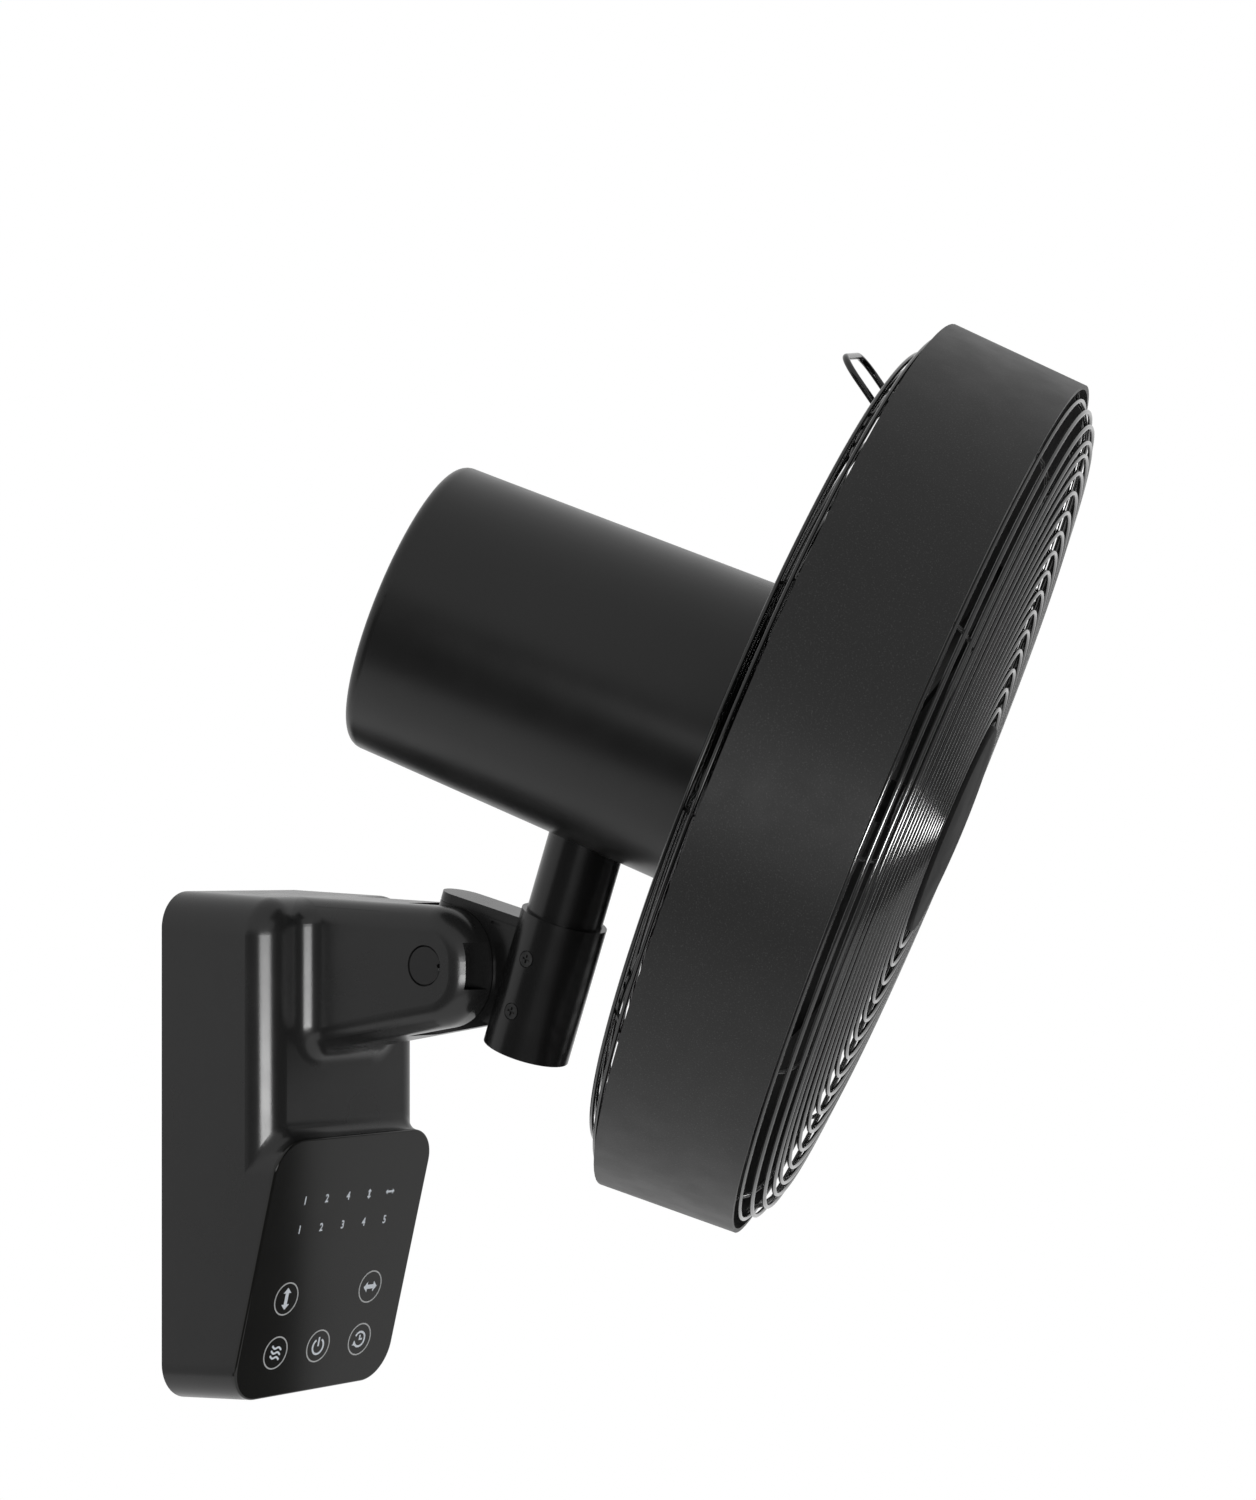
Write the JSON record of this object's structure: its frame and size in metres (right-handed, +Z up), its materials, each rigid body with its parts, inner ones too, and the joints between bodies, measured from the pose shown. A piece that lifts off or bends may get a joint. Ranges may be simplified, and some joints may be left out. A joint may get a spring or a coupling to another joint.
{
  "type": "wall mounted fan",
  "caption": "Wall mounted fan: housing with touch panel and forked arm, tilting neck, panning motor can, drum guard with domed wire grille and spinning blades.",
  "frame": {"origin": "middle of the housing's back, on the wall", "axes": "+Y into the wall, the fan stands out along -Y; +Z up; +X the viewer's right facing the fan"},
  "size_m": [0.4253, 0.4973, 0.5298],
  "materials": {
    "housing_plastic": "black fine-grained satin ABS",
    "panel_gloss": "high-gloss black touch lens",
    "board": "green circuit board with solder mask",
    "zinc_steel": "zinc plated pressed steel",
    "rubber_black": "black rubber",
    "turned_steel": "turned steel",
    "gear_plastic": "natural acetal",
    "black_metal": "black satin powder coat",
    "can_plastic": "black satin plastic",
    "cast_zinc": "plain casting",
    "pressed_aluminium": "pressed aluminium",
    "laminations": "laminated core with varnished windings",
    "guard_wire": "black semi-gloss coated wire",
    "drum_paint": "black fine-textured powder coat",
    "blade_plastic": "dark moulded plastic"
  },
  "bodies": {
    "wall_base": {"wall_bracket": "zinc_steel", "back_plate": "housing_plastic", "base_housing": "housing_plastic", "panel_lens": "panel_gloss", "touch_board": "board", "power_board": "board", "cord_gland": "rubber_black", "pivot_pin": "turned_steel", "pivot_plug_left": "housing_plastic", "pivot_plug_right": "housing_plastic", "tilt_motor": "zinc_steel"},
    "tilt_drive": {"tilt_pinion": "gear_plastic"},
    "tilt_head": {"tilt_knuckle": "black_metal", "knuckle_cover": "housing_plastic", "socket_screw_upper": "black_metal", "socket_screw_lower": "black_metal", "neck_pipe": "black_metal", "thrust_collar": "turned_steel", "neck_gear": "gear_plastic"},
    "pan_head": {"motor_housing": "can_plastic", "pan_bracket": "cast_zinc", "pan_motor": "zinc_steel", "motor_frame": "pressed_aluminium", "stator": "laminations", "bearing_rear": "turned_steel", "front_plate": "can_plastic", "bearing_front": "turned_steel", "rear_guard": "guard_wire", "guard_nut": "can_plastic", "guard_handle": "guard_wire", "drum_band": "drum_paint", "front_guard": "guard_wire", "front_cap": "can_plastic"},
    "pan_drive": {"pan_pinion": "gear_plastic"},
    "rotor": {"motor_shaft": "turned_steel", "rotor_core": "pressed_aluminium", "fan_blades": "blade_plastic", "blade_nut": "can_plastic"}
  },
  "joints": [
    {"name": "tilt", "type": "hinge", "parent": "wall_base", "child": "tilt_head", "pos_m": [0, -0.149, 0.09405], "axis": [1, 0, 0], "range_deg": [-25, 10]},
    {"name": "tilt_gear", "type": "hinge", "parent": "wall_base", "child": "tilt_drive", "pos_m": [0, -0.1115, 0.09405], "axis": [1, 0, 0], "range_deg": [-40, 100]},
    {"name": "pan", "type": "hinge", "parent": "tilt_head", "child": "pan_head", "pos_m": [0, -0.25151, 0.22541], "axis": [0, -0.342, 0.9397], "range_deg": [-65.2, 14.8]},
    {"name": "pan_gear", "type": "hinge", "parent": "pan_head", "child": "pan_drive", "pos_m": [-0.01277, -0.2113, 0.19429], "axis": [0, -0.342, 0.9397], "range_deg": [-195.6, 44.4]},
    {"name": "spin", "type": "hinge", "parent": "pan_head", "child": "rotor", "pos_m": [0, -0.25151, 0.22541], "axis": [0.4245, -0.8208, -0.3822], "continuous": true}
  ],
  "couplings": [
    {"joint": "tilt_gear", "follows": "tilt", "ratio": -4},
    {"joint": "pan_gear", "follows": "pan", "ratio": 3}
  ]
}
